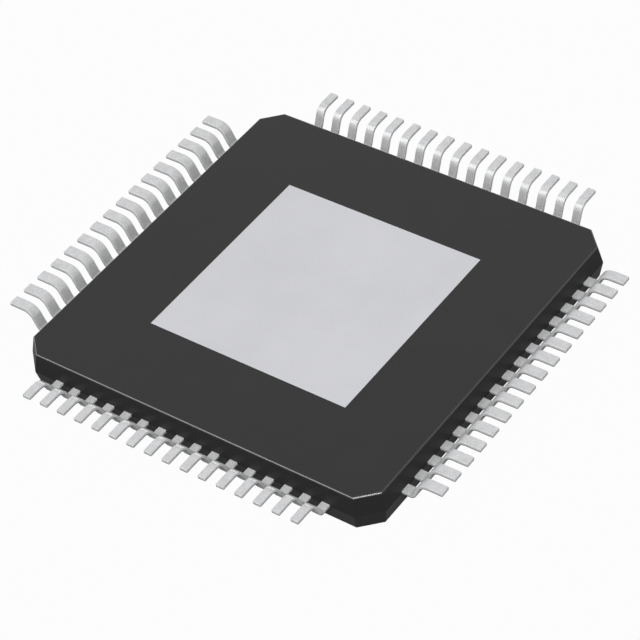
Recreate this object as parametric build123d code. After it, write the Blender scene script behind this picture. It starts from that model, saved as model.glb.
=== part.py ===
from build123d import *
import os
from math import ceil, radians, sqrt, tan

# Thin quad flat package with an exposed pad, in millimetres.
# It lies on its marked face, so the pad and the feet of the leads point up.
# The origin is the centre of the marked face, and +Z points out of the pad.

# Rows of leads, one on each side
lead_pitch = 0.5
leads_per_row = 16
leads_per_node = 4           # neighbours that share one file
row_end_margin = 1.25        # last lead's middle to the corner of the uncut outline

# Stamped sheet and the gull wings bent from it
sheet_thickness = 0.09
x_row_lead_width = 0.265     # rows on the -X and +X sides
y_row_lead_width = 0.21      # rows on the -Y and +Y sides
shoulder_length = 0.28       # mould wall to the corner of the first bend
shoulder_bend_radius = 0.155  # to the middle of the sheet
heel_bend_radius = 0.29      # likewise
riser_lean = 24.0            # degrees from upright, outwards
foot_length = 0.58           # corner of the second bend to the tip
chord_length = 0.12          # longest of the straight stretches that round a bend
standoff = 0.05              # feet beyond the pad face

# Fingers inside the mould
anchor_length = 0.45         # straight stretch behind the mould wall
finger_tip_setback = 0.45    # paddle rim to the finger tips, seen from above
finger_corner_margin = 0.6   # last finger's middle to the corner of the square of tips
finger_gap = 0.18            # between the tips of two fingers

# Mould
body_thickness = 0.95
pad_side_depth = 0.485       # pad face to the parting line
draft_angle = 12.0           # degrees, both ways from the parting line
corner_cut = 0.51            # leg of the corner chamfers at the parting line
edge_radius = 0.045          # round the pad face and the marked face
dimple_radius = 0.5
dimple_depth = 0.06
dimple_inset = 1.3           # middle of the pin one dimple to the outline

# Die paddle, with its locking rim and tie bars
pad_width = 5.5
rim_width = 0.2
rim_thickness = 0.045        # what the half etch leaves of the sheet
tie_bar_width = 0.2
tie_bar_flat = 0.15          # straight stretch beyond the paddle corner
tie_bar_slope = 45.0         # degrees
tie_bar_cover = 0.25         # mould left between the bar and the corner chamfer

# Silicon die and its adhesive
die_width = 4.2
die_thickness = 0.25
attach_thickness = 0.025
attach_margin = 0.1          # adhesive squeezed out round the die

# Bond wires
wire_diameter = 0.025
bond_edge_inset = 0.1        # bond pads to the edge of the die
bond_corner_inset = 0.3      # last bond pad to the corner of the die
loop_height = 0.2
stitch_inset = 0.08          # finger tip to the start of the stitch
stitch_length = 0.12

# Sizes that follow
row_length = (leads_per_row - 1) * lead_pitch
body_width = row_length + 2 * row_end_margin
wall_x = body_width / 2
parting_z = body_thickness - pad_side_depth
foot_z = body_thickness + standoff - sheet_thickness / 2
shoulder_x = wall_x + shoulder_length
heel_x = shoulder_x + (foot_z - parting_z) * tan(radians(riser_lean))
tip_x = heel_x + foot_length
anchor_x = wall_x - anchor_length
rim_x = pad_width / 2 + rim_width
finger_tip_x = rim_x + finger_tip_setback
finger_tip_pitch = 2 * (finger_tip_x - finger_corner_margin) / (leads_per_row - 1)
finger_tip_width = finger_tip_pitch - finger_gap
finger_face_z = parting_z - sheet_thickness / 2
paddle_back_z = body_thickness - sheet_thickness
rim_z = paddle_back_z + rim_thickness / 2
die_back_z = paddle_back_z - attach_thickness
die_face_z = die_back_z - die_thickness
bond_pitch = (die_width - 2 * bond_corner_inset) / (leads_per_row - 1)

# Rows in pin order, clockwise from above: the angle of each side and its lead width
rows = [
    (180, x_row_lead_width),
    (90, y_row_lead_width),
    (0, x_row_lead_width),
    (-90, y_row_lead_width),
]

# Boxes stand on the height they are placed at
upright = (Align.CENTER, Align.CENTER, Align.MIN)


def with_bends(points, radii):
    """The points of a path whose corners are rounded by short chords of each bend's arc."""
    smooth = FilletPolyline(*points, radius=radii)
    stations = []
    for edge in smooth.edges():
        steps = ceil(edge.length / chord_length) if edge.geom_type == GeomType.CIRCLE else 1
        stations += [edge @ (step / steps) for step in range(steps)]
    return stations + [smooth @ 1]


def strip_along(points, width, thickness):
    """Flat strip whose middle line follows the points in one upright plane."""
    path = Polyline(*points)
    along = (path @ 1) - (path @ 0)
    start = Plane(origin=path @ 0, x_dir=(-along.Y, along.X, 0), z_dir=path % 0)
    return sweep(start * Rectangle(width, thickness), path=path, transition=Transition.RIGHT)


def make_lead(row_offset, width):
    """One lead in its row's frame, where X points out of the side and Y along it."""
    y = row_offset * lead_pitch
    tip_y = row_offset * finger_tip_pitch
    shoulder = [(anchor_x, y, parting_z), (shoulder_x, y, parting_z)]
    foot = [(heel_x, y, foot_z), (tip_x, y, foot_z)]
    middle_line = with_bends(shoulder + foot, [shoulder_bend_radius, heel_bend_radius])
    gull_wing = strip_along(middle_line, width, sheet_thickness)
    outline = Polyline(
        (anchor_x, y + width / 2),
        (finger_tip_x, tip_y + finger_tip_width / 2),
        (finger_tip_x, tip_y - finger_tip_width / 2),
        (anchor_x, y - width / 2),
        close=True,
    )
    finger = extrude(Plane.XY.offset(finger_face_z) * make_face(outline), amount=sheet_thickness)
    return gull_wing + finger


def make_bond_wire(row_offset):
    """One wire in its row's frame: out of the die, across, and stitched flat on the finger."""
    bond_pad = Vector(die_width / 2 - bond_edge_inset, row_offset * bond_pitch, die_face_z)
    finger_slope = (lead_pitch - finger_tip_pitch) / (anchor_x - finger_tip_x)
    stitch_y = row_offset * (finger_tip_pitch + finger_slope * stitch_inset)
    stitch = Vector(finger_tip_x + stitch_inset, stitch_y, finger_face_z - wire_diameter / 2)
    loop = bond_pad - Vector(0, 0, loop_height)
    heading = Vector(stitch.X - loop.X, stitch.Y - loop.Y, 0).normalized()
    path = [bond_pad, loop, stitch, stitch + heading * stitch_length]
    return strip_along(path, wire_diameter, wire_diameter)


def make_paddle():
    """Exposed pad, its half-etched rim, and the tie bars that climb to the parting line."""
    paddle = Box(pad_width, pad_width, sheet_thickness, align=upright)
    paddle += Box(2 * rim_x, 2 * rim_x, rim_thickness, align=upright)
    paddle = Pos(0, 0, paddle_back_z) * paddle
    bar_start = (rim_x - tie_bar_width) * sqrt(2)
    slope_start = rim_x * sqrt(2) + tie_bar_flat
    slope_end = slope_start + (rim_z - parting_z) / tan(radians(tie_bar_slope))
    bar_end = (body_width - corner_cut) / sqrt(2) - tie_bar_cover
    along_rim = [(bar_start, 0, rim_z), (slope_start, 0, rim_z)]
    along_parting = [(slope_end, 0, parting_z), (bar_end, 0, parting_z)]
    tie_bar = strip_along(along_rim + along_parting, tie_bar_width, rim_thickness)
    for angle, _ in rows:
        paddle += Rot(0, 0, angle + 45) * tie_bar
    return paddle


def make_mould_half(depth):
    """Half of the mould body, from the parting line up to its face, with every wall drafted."""
    outline = chamfer(Rectangle(body_width, body_width).vertices(), corner_cut)
    half = extrude(outline, amount=depth, taper=draft_angle)
    return fillet(half.faces().sort_by(Axis.Z)[-1].edges(), edge_radius)


def make_mould_blank():
    """Both halves at the parting line and the pin one dimple, before anything is cast in."""
    blank = make_mould_half(pad_side_depth) + Rot(180, 0, 0) * make_mould_half(parting_z)
    dimple_x = dimple_inset - wall_x
    dimple = Pos(dimple_x, dimple_x, dimple_depth / 2) * Cylinder(dimple_radius, dimple_depth)
    return Pos(0, 0, parting_z) * blank - dimple


def group_rows(make_piece, name):
    """Makes one piece for every pin and returns the named groups of neighbours."""
    groups = {}
    middle = (leads_per_row - 1) / 2
    for row, (angle, width) in enumerate(rows):
        for first in range(0, leads_per_row, leads_per_node):
            places = range(first, min(first + leads_per_node, leads_per_row))
            pieces = [Rot(0, 0, angle) * make_piece(middle - place, width) for place in places]
            pins = [row * leads_per_row + place + 1 for place in places]
            file_name = f"{name}_{pins[0]:02d}_to_{pins[-1]:02d}"
            groups[file_name] = Compound([piece.solid() for piece in pieces])
    return groups


paddle = make_paddle()
attach_width = die_width + 2 * attach_margin
die_attach = Pos(0, 0, die_back_z) * Box(attach_width, attach_width, attach_thickness, align=upright)
die = Pos(0, 0, die_face_z) * Box(die_width, die_width, die_thickness, align=upright)
leads = group_rows(make_lead, "leads")
wires = group_rows(lambda row_offset, width: make_bond_wire(row_offset), "bond_wires")

inner_nodes = {"die_paddle": paddle, "die_attach": die_attach, "silicon_die": die, **leads, **wires}
inner_solids = [solid for shape in inner_nodes.values() for solid in shape.solids()]
mould_body = make_mould_blank() - inner_solids

os.makedirs("parts", exist_ok=True)
for name, shape in {"mould_body": mould_body, **inner_nodes}.items():
    export_step(shape, f"parts/{name}.step")
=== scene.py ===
import math
import bpy
import numpy as np
from mathutils import Matrix, Vector


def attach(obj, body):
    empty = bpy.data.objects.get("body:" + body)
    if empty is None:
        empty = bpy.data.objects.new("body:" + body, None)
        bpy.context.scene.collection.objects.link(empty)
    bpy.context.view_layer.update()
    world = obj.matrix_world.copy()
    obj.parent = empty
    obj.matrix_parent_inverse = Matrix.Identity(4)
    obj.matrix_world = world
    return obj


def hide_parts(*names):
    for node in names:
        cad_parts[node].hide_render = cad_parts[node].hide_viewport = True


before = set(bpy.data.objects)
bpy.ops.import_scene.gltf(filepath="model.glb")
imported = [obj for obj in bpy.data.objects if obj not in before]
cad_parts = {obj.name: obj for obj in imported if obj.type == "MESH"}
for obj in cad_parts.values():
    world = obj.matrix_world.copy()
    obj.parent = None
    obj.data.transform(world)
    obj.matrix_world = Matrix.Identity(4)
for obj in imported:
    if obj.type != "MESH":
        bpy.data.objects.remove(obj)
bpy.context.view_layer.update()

# A leaded chip package lying on its marked face, with its pad and feet upwards.
# Everything is in metres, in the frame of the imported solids.
mm = 0.001
print("frame loaded:", len(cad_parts), "nodes")


# Shader maths: values that add and multiply like numbers
class Value:
    def __init__(self, graph, socket):
        self.graph = graph
        self.socket = socket

    def maths(self, operation, first, second):
        return self.graph.node("ShaderNodeMath", {"operation": operation}, {0: first, 1: second})

    def __add__(self, other):
        return self.maths("ADD", self, other)

    def __mul__(self, other):
        return self.maths("MULTIPLY", self, other)


class Graph:
    def __init__(self, owner):
        owner.use_nodes = True
        self.tree = owner.node_tree
        self.tree.nodes.clear()

    def node(self, kind, settings=None, inputs=None, output=0):
        # settings go on first, then each input gets its value or its link
        made = self.tree.nodes.new(kind)
        for name, value in (settings or {}).items():
            setattr(made, name, value)
        for name, value in (inputs or {}).items():
            if isinstance(value, Value):
                self.tree.links.new(value.socket, made.inputs[name])
            else:
                made.inputs[name].default_value = value
        return Value(self, made.outputs[output]) if len(made.outputs) else made

    def blend(self, factor, first, second):
        # colours are mixed as colours; 6, 7 and 2 are the colour sockets of Mix
        return self.node("ShaderNodeMix", {"data_type": "RGBA"}, {0: factor, 6: first, 7: second}, 2)

    def place(self):
        # the piece's own coordinates
        return self.node("ShaderNodeTexCoord", output="Object")

    def grain(self, where, size, noise):
        # noise of the given character, whose features are about this size in metres
        return self.node("ShaderNodeTexNoise", None,
                         {"Vector": where, "Scale": 1 / size, "Detail": noise["detail"],
                          "Roughness": noise["roughness"]})

    def spread(self, value, low, high, start=0.3, end=0.7):
        # the part of the value between start and end, moved to low .. high
        return self.node("ShaderNodeMapRange", None,
                         {"Value": value, "From Min": start, "From Max": end, "To Min": low, "To Max": high})

    def bump(self, height, depth):
        return self.node("ShaderNodeBump", None, {"Height": height, "Distance": depth})

    def finish(self, inputs):
        surface = self.node("ShaderNodeBsdfPrincipled", None, inputs)
        self.node("ShaderNodeOutputMaterial", None, {"Surface": surface})


def newMaterial(name):
    material = bpy.data.materials.new(name)
    return material, Graph(material)


plainTint = (1.0, 1.0, 1.0)


def grey(level, tint=plainTint):
    return (level * tint[0], level * tint[1], level * tint[2], 1)


# Characters of noise: how many finer layers it has, and how strong they are
fineNoise = {"detail": 3.0, "roughness": 0.6}
cloudNoise = {"detail": 3.0, "roughness": 0.5}
softNoise = {"detail": 2.0, "roughness": 0.5}


# Moulded black epoxy: satin, with fine pits, and a glossy skin along its rounded edges.
# The share of the pits in the tone and in the roughness leaves the rest to the clouds.
mouldLook = {"dark": 0.0160, "light": 0.0178, "roughnessLow": 0.29, "roughnessHigh": 0.34, "gloss": 0.30,
             "pit": 0.022 * mm, "cloud": 0.9 * mm, "pitDepth": 0.0002 * mm,
             "pitsInTone": 0.45, "pitsInRoughness": 0.6,
             "polishIndex": 1.95, "polishRoughness": 0.22, "edgeTilts": (0.30, 0.40, 0.960, 0.985)}


def mouldMaterial(look):
    material, graph = newMaterial("mouldCompound")
    where = graph.place()
    pits = graph.grain(where, look["pit"], fineNoise)
    clouds = graph.grain(where, look["cloud"], cloudNoise)
    tone = pits * look["pitsInTone"] + clouds * (1 - look["pitsInTone"])
    unevenness = pits * look["pitsInRoughness"] + clouds * (1 - look["pitsInRoughness"])
    # edges: where the surface leans between the drafted wall and the flat face
    normal = graph.node("ShaderNodeNewGeometry", output="Normal")
    upward = graph.node("ShaderNodeSeparateXYZ", None, {"Vector": normal}, "Z")
    wallEnd, edgeStart, edgeEnd, faceStart = look["edgeTilts"]
    edge = (graph.spread(upward, 0, 1, wallEnd, edgeStart)
            * graph.spread(upward, 1, 0, edgeEnd, faceStart))
    graph.finish({
        "Base Color": graph.blend(graph.spread(tone, 0, 1), grey(look["dark"]), grey(look["light"])),
        "Roughness": graph.spread(unevenness, look["roughnessLow"], look["roughnessHigh"]),
        "Specular IOR Level": look["gloss"],
        "Coat Weight": edge,
        "Coat IOR": look["polishIndex"],
        "Coat Roughness": look["polishRoughness"],
        "Normal": graph.bump(pits, look["pitDepth"])})
    return material


def tinLayers(graph, look):
    # the grain of the plating, and its colour: grain and soft clouds mixed evenly
    where = graph.place()
    fine = graph.grain(where, look["grain"], fineNoise)
    clouds = graph.grain(where, look["cloud"], softNoise)
    tone = graph.spread(fine * 0.5 + clouds * 0.5, 0, 1)
    return fine, graph.blend(tone, grey(look["dull"], look["tint"]), grey(look["bright"], look["tint"]))


# Plain tin on the pad
padLook = {"dull": 0.588, "bright": 0.652, "tint": (0.954, 0.957, 1.0), "metallic": 0.10, "gloss": 0.25,
           "roughnessLow": 0.40, "roughnessHigh": 0.48, "grain": 0.035 * mm, "cloud": 1.6 * mm,
           "grainDepth": 0.0014 * mm}


def padMaterial(look):
    material, graph = newMaterial("plainPad")
    fine, plated = tinLayers(graph, look)
    graph.finish({
        "Base Color": plated,
        "Metallic": look["metallic"],
        "Roughness": graph.spread(fine, look["roughnessLow"], look["roughnessHigh"]),
        "Specular IOR Level": look["gloss"],
        "Normal": graph.bump(fine, look["grainDepth"])})
    return material


# Matte tin on the leads; the sideways faces are painted paler as painted light, and a dark line along their
# lower edge is painted shade
leadLook = {"dull": 0.527, "bright": 0.684, "paintedSideLight": 0.79, "paintedEdgeShade": 0.10, "edgeShadeSpan": (0.66, 0.84),
            "tint": (0.985, 0.99, 1.0), "metallic": 0.15, "roughnessLow": 0.20, "roughnessHigh": 0.30,
            "grain": 0.026 * mm, "cloud": 0.16 * mm, "grainDepth": 0.0016 * mm}


def leadMaterial(look):
    material, graph = newMaterial("matteTin")
    fine, plated = tinLayers(graph, look)
    # the sideways faces are painted paler than the plating: painted light where neighbouring leads shade
    # them
    paintedSideLight = graph.node("ShaderNodeAttribute", {"attribute_name": "paintedSideMask"}, output="Fac")
    paintedSideTone = graph.blend(paintedSideLight, plated, grey(look["paintedSideLight"], look["tint"]))
    # a near-black line along the lower edge of the sideways faces: painted shade
    paintedEdgeShade = graph.node("ShaderNodeAttribute", {"attribute_name": "paintedEdgeShadeMask"}, output="Fac")
    paintedEdgeShadeLine = graph.spread(paintedEdgeShade, 0, 1, *look["edgeShadeSpan"])
    graph.finish({
        "Base Color": graph.blend(paintedEdgeShadeLine, paintedSideTone, grey(look["paintedEdgeShade"], look["tint"])),
        "Metallic": look["metallic"],
        "Roughness": graph.spread(fine, look["roughnessLow"], look["roughnessHigh"]),
        "Normal": graph.bump(fine, look["grainDepth"])})
    return material


# What the mould hides: glue, die and wires
hiddenLooks = {
    "silverGlue": {"dark": (0.34, 0.34, 0.35, 1), "light": (0.50, 0.50, 0.51, 1), "metallic": 0.7,
                   "roughness": (0.45, 0.65), "grain": 0.02 * mm, "depth": 0.001 * mm},
    "siliconSurface": {"dark": (0.055, 0.058, 0.070, 1), "light": (0.085, 0.088, 0.105, 1), "metallic": 0.4,
                       "roughness": (0.12, 0.22), "grain": 0.3 * mm, "depth": 0.0002 * mm},
    "goldWire": {"dark": (0.85, 0.56, 0.20, 1), "light": (0.95, 0.68, 0.30, 1), "metallic": 1.0,
                 "roughness": (0.18, 0.30), "grain": 0.05 * mm, "depth": 0.0004 * mm}}


def hiddenMaterial(name, look):
    material, graph = newMaterial(name)
    grain = graph.grain(graph.place(), look["grain"], softNoise)
    graph.finish({
        "Base Color": graph.blend(graph.spread(grain, 0, 1), look["dark"], look["light"]),
        "Metallic": look["metallic"],
        "Roughness": graph.spread(grain, *look["roughness"]),
        "Normal": graph.bump(grain, look["depth"])})
    return material


def dressNode(name, material):
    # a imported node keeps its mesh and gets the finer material
    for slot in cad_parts[name].material_slots:
        slot.material = material


# Leads: flat strips bent into gull wings, with round bends and broken edges, in millimetres.
# The sides are marked where they face sideways and painted paler there as painted light: the fade value is
# how fast the mark fades round an edge, and the upright value is how strong the painted shade line on the
# lower edge stays where the strip is upright.
lead = {"pitch": 0.5, "perRow": 16, "perGroup": 4, "sheet": 0.09, "breakRadius": 0.012,
        "wallX": 5.0, "shoulder": 0.28, "lean": 24.0, "foot": 0.58, "bends": (0.155, 0.29),
        "parting": 0.465, "footZ": 0.955, "anchorX": 4.55, "fingerTipX": 3.40, "fingerTipEnd": 2.80,
        "fingerGap": 0.18, "bendSteps": 8, "cornerSteps": 3, "endTurn": 1.5,
        "sidePaintFade": 1.6, "edgeShadeUpright": 0.7}
# the angle of each side and the width of its leads
leadRows = [(180, 0.265), (90, 0.21), (0, 0.265), (-90, 0.21)]


def bentPath(corners, radii, steps):
    # Straight runs joined by arcs that touch both. A point of an arc at angle a is
    # its start + r sin(a) along the old run + r (1 - cos(a)) across it, towards the new one.
    runs = np.diff(corners, axis=0)
    along = runs / np.linalg.norm(runs, axis=1)[:, None]
    heading = np.arctan2(along[:, 1], along[:, 0])
    turn = np.diff(heading)[:, None]
    r = np.array(radii)[:, None]
    a = np.linspace(0, 1, steps) * np.abs(turn)
    start = corners[1:-1] - along[:-1] * r * np.tan(np.abs(turn) / 2)
    across = np.stack([-along[:-1, 1], along[:-1, 0]], 1) * np.sign(turn)
    points = (start[:, None] + (r * np.sin(a))[..., None] * along[:-1, None]
              + (r * (1 - np.cos(a)))[..., None] * across[:, None])
    angles = heading[:-1, None] + a * np.sign(turn)
    points = np.concatenate([corners[:1], points.reshape(-1, 2), corners[-1:]])
    angles = np.concatenate([heading[:1], angles.ravel(), heading[-1:]])
    return points, angles


def roundedEnds(points, angles, radius, turn, steps):
    # Each end gets rings that turn from side to front: at angle b the ring lies
    # r sin(b) further out and its corners have the radius r cos(b). The turn stops just
    # short of a right angle, so that the last ring's corners stay apart.
    b = np.linspace(0, turn, steps)
    first = np.array([np.cos(angles[0]), np.sin(angles[0])])
    last = np.array([np.cos(angles[-1]), np.sin(angles[-1])])
    front = points[0] + first * (radius - radius * np.sin(b[::-1]))[:, None]
    back = points[-1] - last * (radius - radius * np.sin(b))[:, None]
    stations = np.concatenate([front, points[1:-1], back])
    headings = np.concatenate([np.full(steps, angles[0]), angles[1:-1], np.full(steps, angles[-1])])
    tilt = np.concatenate([-b[::-1], np.zeros(len(points) - 2), b])
    return stations, headings, tilt


def leadLine(spec):
    # the middle line of a lead, from its finger tip to the tip of its foot
    rise = (spec["footZ"] - spec["parting"]) * math.tan(math.radians(spec["lean"]))
    shoulderX = spec["wallX"] + spec["shoulder"]
    heelX = shoulderX + rise
    corners = np.array([(spec["fingerTipX"], spec["parting"]), (shoulderX, spec["parting"]),
                        (heelX, spec["footZ"]), (heelX + spec["foot"], spec["footZ"])])
    points, angles = bentPath(corners, spec["bends"], spec["bendSteps"])
    anchor = np.array([[spec["anchorX"], spec["parting"]]])
    points = np.insert(points, 1, anchor, axis=0)
    angles = np.insert(angles, 1, 0.0)
    return roundedEnds(points, angles, spec["breakRadius"], spec["endTurn"], spec["cornerSteps"])


def leadMesh(width, offsets, angle, spec):
    # Section: a rectangle with round corners, (su (w/2 - r) + r cos a, sv (t/2 - r) + r sin a),
    # carried along the middle line; behind the anchor its width and place narrow to the finger tip.
    stations, headings, tilt = leadLine(spec)
    tipPitch = 2 * spec["fingerTipEnd"] / (spec["perRow"] - 1)
    out = np.clip((stations[:, 0] - spec["fingerTipX"]) / (spec["anchorX"] - spec["fingerTipX"]), 0, 1)
    widths = (tipPitch - spec["fingerGap"]) * (1 - out) + width * out
    middles = offsets[:, None] * (tipPitch * (1 - out) + spec["pitch"] * out)

    corner = np.arange(4).repeat(spec["cornerSteps"])
    a = corner * math.pi / 2 + np.tile(np.linspace(0, math.pi / 2, spec["cornerSteps"]), 4)
    signU = np.array([1, -1, -1, 1])[corner]
    signV = np.array([1, 1, -1, -1])[corner]
    r = spec["breakRadius"]
    ringR = (r * np.cos(tilt))[:, None]
    u = signU * (widths[:, None] / 2 - r) + ringR * np.cos(a)
    v = signV * (spec["sheet"] / 2 - r) + ringR * np.sin(a)
    sine, cosine = np.sin(headings)[:, None], np.cos(headings)[:, None]
    x = stations[:, :1] - v * sine
    z = stations[:, 1:] + v * cosine
    local = np.stack(np.broadcast_arrays(x[None], middles[:, :, None] + u[None], z[None]), -1)

    nu = np.cos(tilt)[:, None] * np.cos(a)
    nv = np.cos(tilt)[:, None] * np.sin(a)
    nt = np.broadcast_to(np.sin(tilt)[:, None], nu.shape)
    normal = np.stack([nt * cosine - nv * sine, nu, nt * sine + nv * cosine], -1)
    normal = np.broadcast_to(normal[None], local.shape)
    # the mask of sideways faces, which carries the painted light and the painted shade line
    paintedSideMask = np.broadcast_to(np.maximum(np.abs(nu), np.abs(nt))[None], local.shape[:3])
    paintedSideMask = np.clip(1 + spec["sidePaintFade"] * (paintedSideMask - 1), 0, 1)
    # the lower half of the sideways faces gets the painted shade line, weaker where the strip is upright
    upright = spec["edgeShadeUpright"]
    paintedEdgeShadeMask = paintedSideMask * (v < 0) * (upright + (1 - upright) * np.cos(headings))[:, None]

    c, s = math.cos(math.radians(angle)), math.sin(math.radians(angle))
    turnRow = np.array([[c, s, 0], [-s, c, 0], [0, 0, 1]])
    count, rings, around = local.shape[:3]
    index = np.arange(count * rings * around).reshape(count, rings, around)
    following = np.roll(index, -1, axis=2)
    quads = np.stack([index[:, :-1], following[:, :-1], following[:, 1:], index[:, 1:]], -1).reshape(-1, 4)
    ends = np.concatenate([index[:, 0, ::-1], index[:, -1]])
    mesh = bpy.data.meshes.new("leads")
    mesh.from_pydata((local @ turnRow * mm).reshape(-1, 3).tolist(), [], quads.tolist() + ends.tolist())
    mesh.shade_smooth()
    mesh.normals_split_custom_set_from_vertices((normal @ turnRow).reshape(-1, 3))
    for name, values in {"paintedSideMask": paintedSideMask, "paintedEdgeShadeMask": paintedEdgeShadeMask}.items():
        mark = mesh.attributes.new(name=name, type="FLOAT", domain="POINT")
        mark.data.foreach_set("value", values.ravel().astype(np.float32))
    return mesh


def makeLeads(spec, rows, material):
    middle = (spec["perRow"] - 1) / 2
    for row, (angle, width) in enumerate(rows):
        for first in range(0, spec["perRow"], spec["perGroup"]):
            places = np.arange(first, first + spec["perGroup"])
            pin = row * spec["perRow"] + first + 1
            pins = f"{pin:02d}_to_{pin + spec['perGroup'] - 1:02d}"
            mesh = leadMesh(width, middle - places, angle, spec)
            mesh.materials.append(material)
            piece = bpy.data.objects.new(f"gull_wings_{pins}", mesh)
            bpy.context.scene.collection.objects.link(piece)
            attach(piece, "root")
            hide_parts(f"leads_{pins}")


# Stage: a floor and a world that show white to the camera, and to reflections in the given
# share. Other rays see the floor's own colour and the world's own strength, and the floor
# keeps a light shadow. The floor's half width and its drop are in millimetres.
stage = {"half": 600, "drop": 0.002, "colour": 0.17, "floorWhite": 0.975, "floorGloss": 0.12,
         "world": 0.20, "worldWhite": 1.0, "worldGloss": 0.30}


def whiteShare(graph, cameraShare, glossShare):
    # how much of the white background each kind of ray sees
    seen = graph.node("ShaderNodeLightPath", output="Is Camera Ray")
    mirrored = graph.node("ShaderNodeLightPath", output="Is Glossy Ray")
    passed = graph.node("ShaderNodeLightPath", output="Is Transmission Ray")
    return seen * cameraShare + (mirrored + passed) * glossShare


def makeFloor(spec):
    # a flat square just under the marked face
    half, z = spec["half"] * mm, -spec["drop"] * mm
    mesh = bpy.data.meshes.new("floor")
    corners = [(-half, -half, z), (half, -half, z), (half, half, z), (-half, half, z)]
    mesh.from_pydata(corners, [], [(0, 1, 2, 3)])
    floor = bpy.data.objects.new("floor", mesh)
    bpy.context.scene.collection.objects.link(floor)
    material, graph = newMaterial("paleFloor")
    lit = graph.node("ShaderNodeBsdfDiffuse", None, {"Color": grey(spec["colour"])})
    white = graph.node("ShaderNodeEmission", None, {"Color": grey(1.0), "Strength": 1.0})
    share = whiteShare(graph, spec["floorWhite"], spec["floorGloss"])
    shown = graph.node("ShaderNodeMixShader", None, {0: share, 1: lit, 2: white})
    graph.node("ShaderNodeOutputMaterial", None, {"Surface": shown})
    mesh.materials.append(material)


def makeWorld(spec):
    world = bpy.data.worlds.new("studio")
    bpy.context.scene.world = world
    graph = Graph(world)
    light = graph.node("ShaderNodeBackground", None, {"Color": grey(1.0), "Strength": spec["world"]})
    white = graph.node("ShaderNodeBackground", None, {"Color": grey(1.0), "Strength": 1.0})
    share = whiteShare(graph, spec["worldWhite"], spec["worldGloss"])
    shown = graph.node("ShaderNodeMixShader", None, {0: share, 1: light, 2: white})
    graph.node("ShaderNodeOutputWorld", None, {"Surface": shown})


# Lamps: direction from the part, distance, width and height in mm, brightness of the panel.
# A panel without a tint has the plain one.
lamps = {
    "keyPanel": {"towards": (0.354, -0.354, 0.866), "distance": 400, "size": (80, 80), "radiance": 17.0},
    "frontPanel": {"towards": (0.435, -0.435, 0.788), "distance": 420, "size": (460, 380), "radiance": 1.80},
    "lowPanel": {"towards": (0.672, -0.672, 0.309), "distance": 400, "size": (460, 150), "radiance": 1.45},
    "bandPanel": {"towards": (-0.476, -0.48, 0.74), "distance": 400, "size": (200, 190), "radiance": 3.0},
    "backPanel": {"towards": (-0.476, 0.548, 0.6875), "distance": 420, "size": (300, 300), "radiance": 0.42,
                  "tint": (0.97, 0.985, 1.0)},
    "topPanel": {"towards": (-0.20, 0.23, 0.952), "distance": 420, "size": (220, 120), "radiance": 1.3},
    "farPanel": {"towards": (-0.476, 0.860, 0.12), "distance": 400, "size": (260, 90), "radiance": 2.6},
    "sidePanel": {"towards": (-0.95, 0.08, 0.20), "distance": 400, "size": (170, 180), "radiance": 1.1,
                  "tint": (0.90, 0.86, 1.0)}}


def makeLamp(name, spec):
    # a panel of the given brightness: its power is radiance x area x pi
    towards = Vector(spec["towards"]).normalized()
    width, height = (side * mm for side in spec["size"])
    data = bpy.data.lights.new(name, "AREA")
    data.shape = "RECTANGLE"
    data.size = width
    data.size_y = height
    data.color = spec.get("tint", plainTint)
    data.energy = spec["radiance"] * width * height * math.pi
    lamp = bpy.data.objects.new(name, data)
    lamp.location = towards * spec["distance"] * mm
    lamp.rotation_euler = towards.to_track_quat("Z", "Y").to_euler()
    lamp.visible_camera = False
    bpy.context.scene.collection.objects.link(lamp)


# Camera: where the photograph was taken from, round the middle of the pad face. Angles are in
# degrees and lengths in mm, apart from the focal length and the frame, in the photo's pixels.
shot = {"azimuth": 41.009, "elevation": 43.430, "roll": -8.154, "distance": 63.123, "focal": 2726.76,
        "aside": -0.0904, "above": 0.6639, "padZ": 0.95, "frame": 640, "sensor": 36.0,
        "nearest": 1.0, "farthest": 20000.0}


def makeCamera(spec):
    azimuth, elevation, roll = (math.radians(spec[name]) for name in ("azimuth", "elevation", "roll"))
    back = Vector((math.sin(azimuth) * math.cos(elevation), -math.cos(azimuth) * math.cos(elevation),
                   math.sin(elevation)))
    right = Vector((math.cos(azimuth), math.sin(azimuth), 0))
    up = back.cross(right)
    right, up = (math.cos(roll) * right + math.sin(roll) * up, math.cos(roll) * up - math.sin(roll) * right)
    eye = back * spec["distance"] - right * spec["aside"] - up * spec["above"] + Vector((0, 0, spec["padZ"]))
    data = bpy.data.cameras.new("camera")
    data.sensor_width = spec["sensor"]
    data.lens = spec["focal"] / spec["frame"] * spec["sensor"]
    data.clip_start = spec["nearest"] * mm
    data.clip_end = spec["farthest"] * mm
    camera = bpy.data.objects.new("camera", data)
    camera.matrix_world = Matrix.Translation(eye * mm) @ Matrix((right, up, back)).transposed().to_4x4()
    bpy.context.scene.collection.objects.link(camera)
    bpy.context.scene.camera = camera


dressNode("mould_body", mouldMaterial(mouldLook))
dressNode("die_paddle", padMaterial(padLook))
dressNode("die_attach", hiddenMaterial("silverGlue", hiddenLooks["silverGlue"]))
dressNode("silicon_die", hiddenMaterial("siliconSurface", hiddenLooks["siliconSurface"]))
wireMaterial = hiddenMaterial("goldWire", hiddenLooks["goldWire"])
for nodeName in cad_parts:
    if nodeName.startswith("bond_wires"):
        dressNode(nodeName, wireMaterial)
print("packed nodes dressed")

makeLeads(lead, leadRows, leadMaterial(leadLook))
print("leads made")

makeFloor(stage)
makeWorld(stage)
for lampName, lampSpec in lamps.items():
    makeLamp(lampName, lampSpec)
makeCamera(shot)
bpy.context.scene.view_settings.view_transform = "Standard"
print("stage, lamps and camera set")
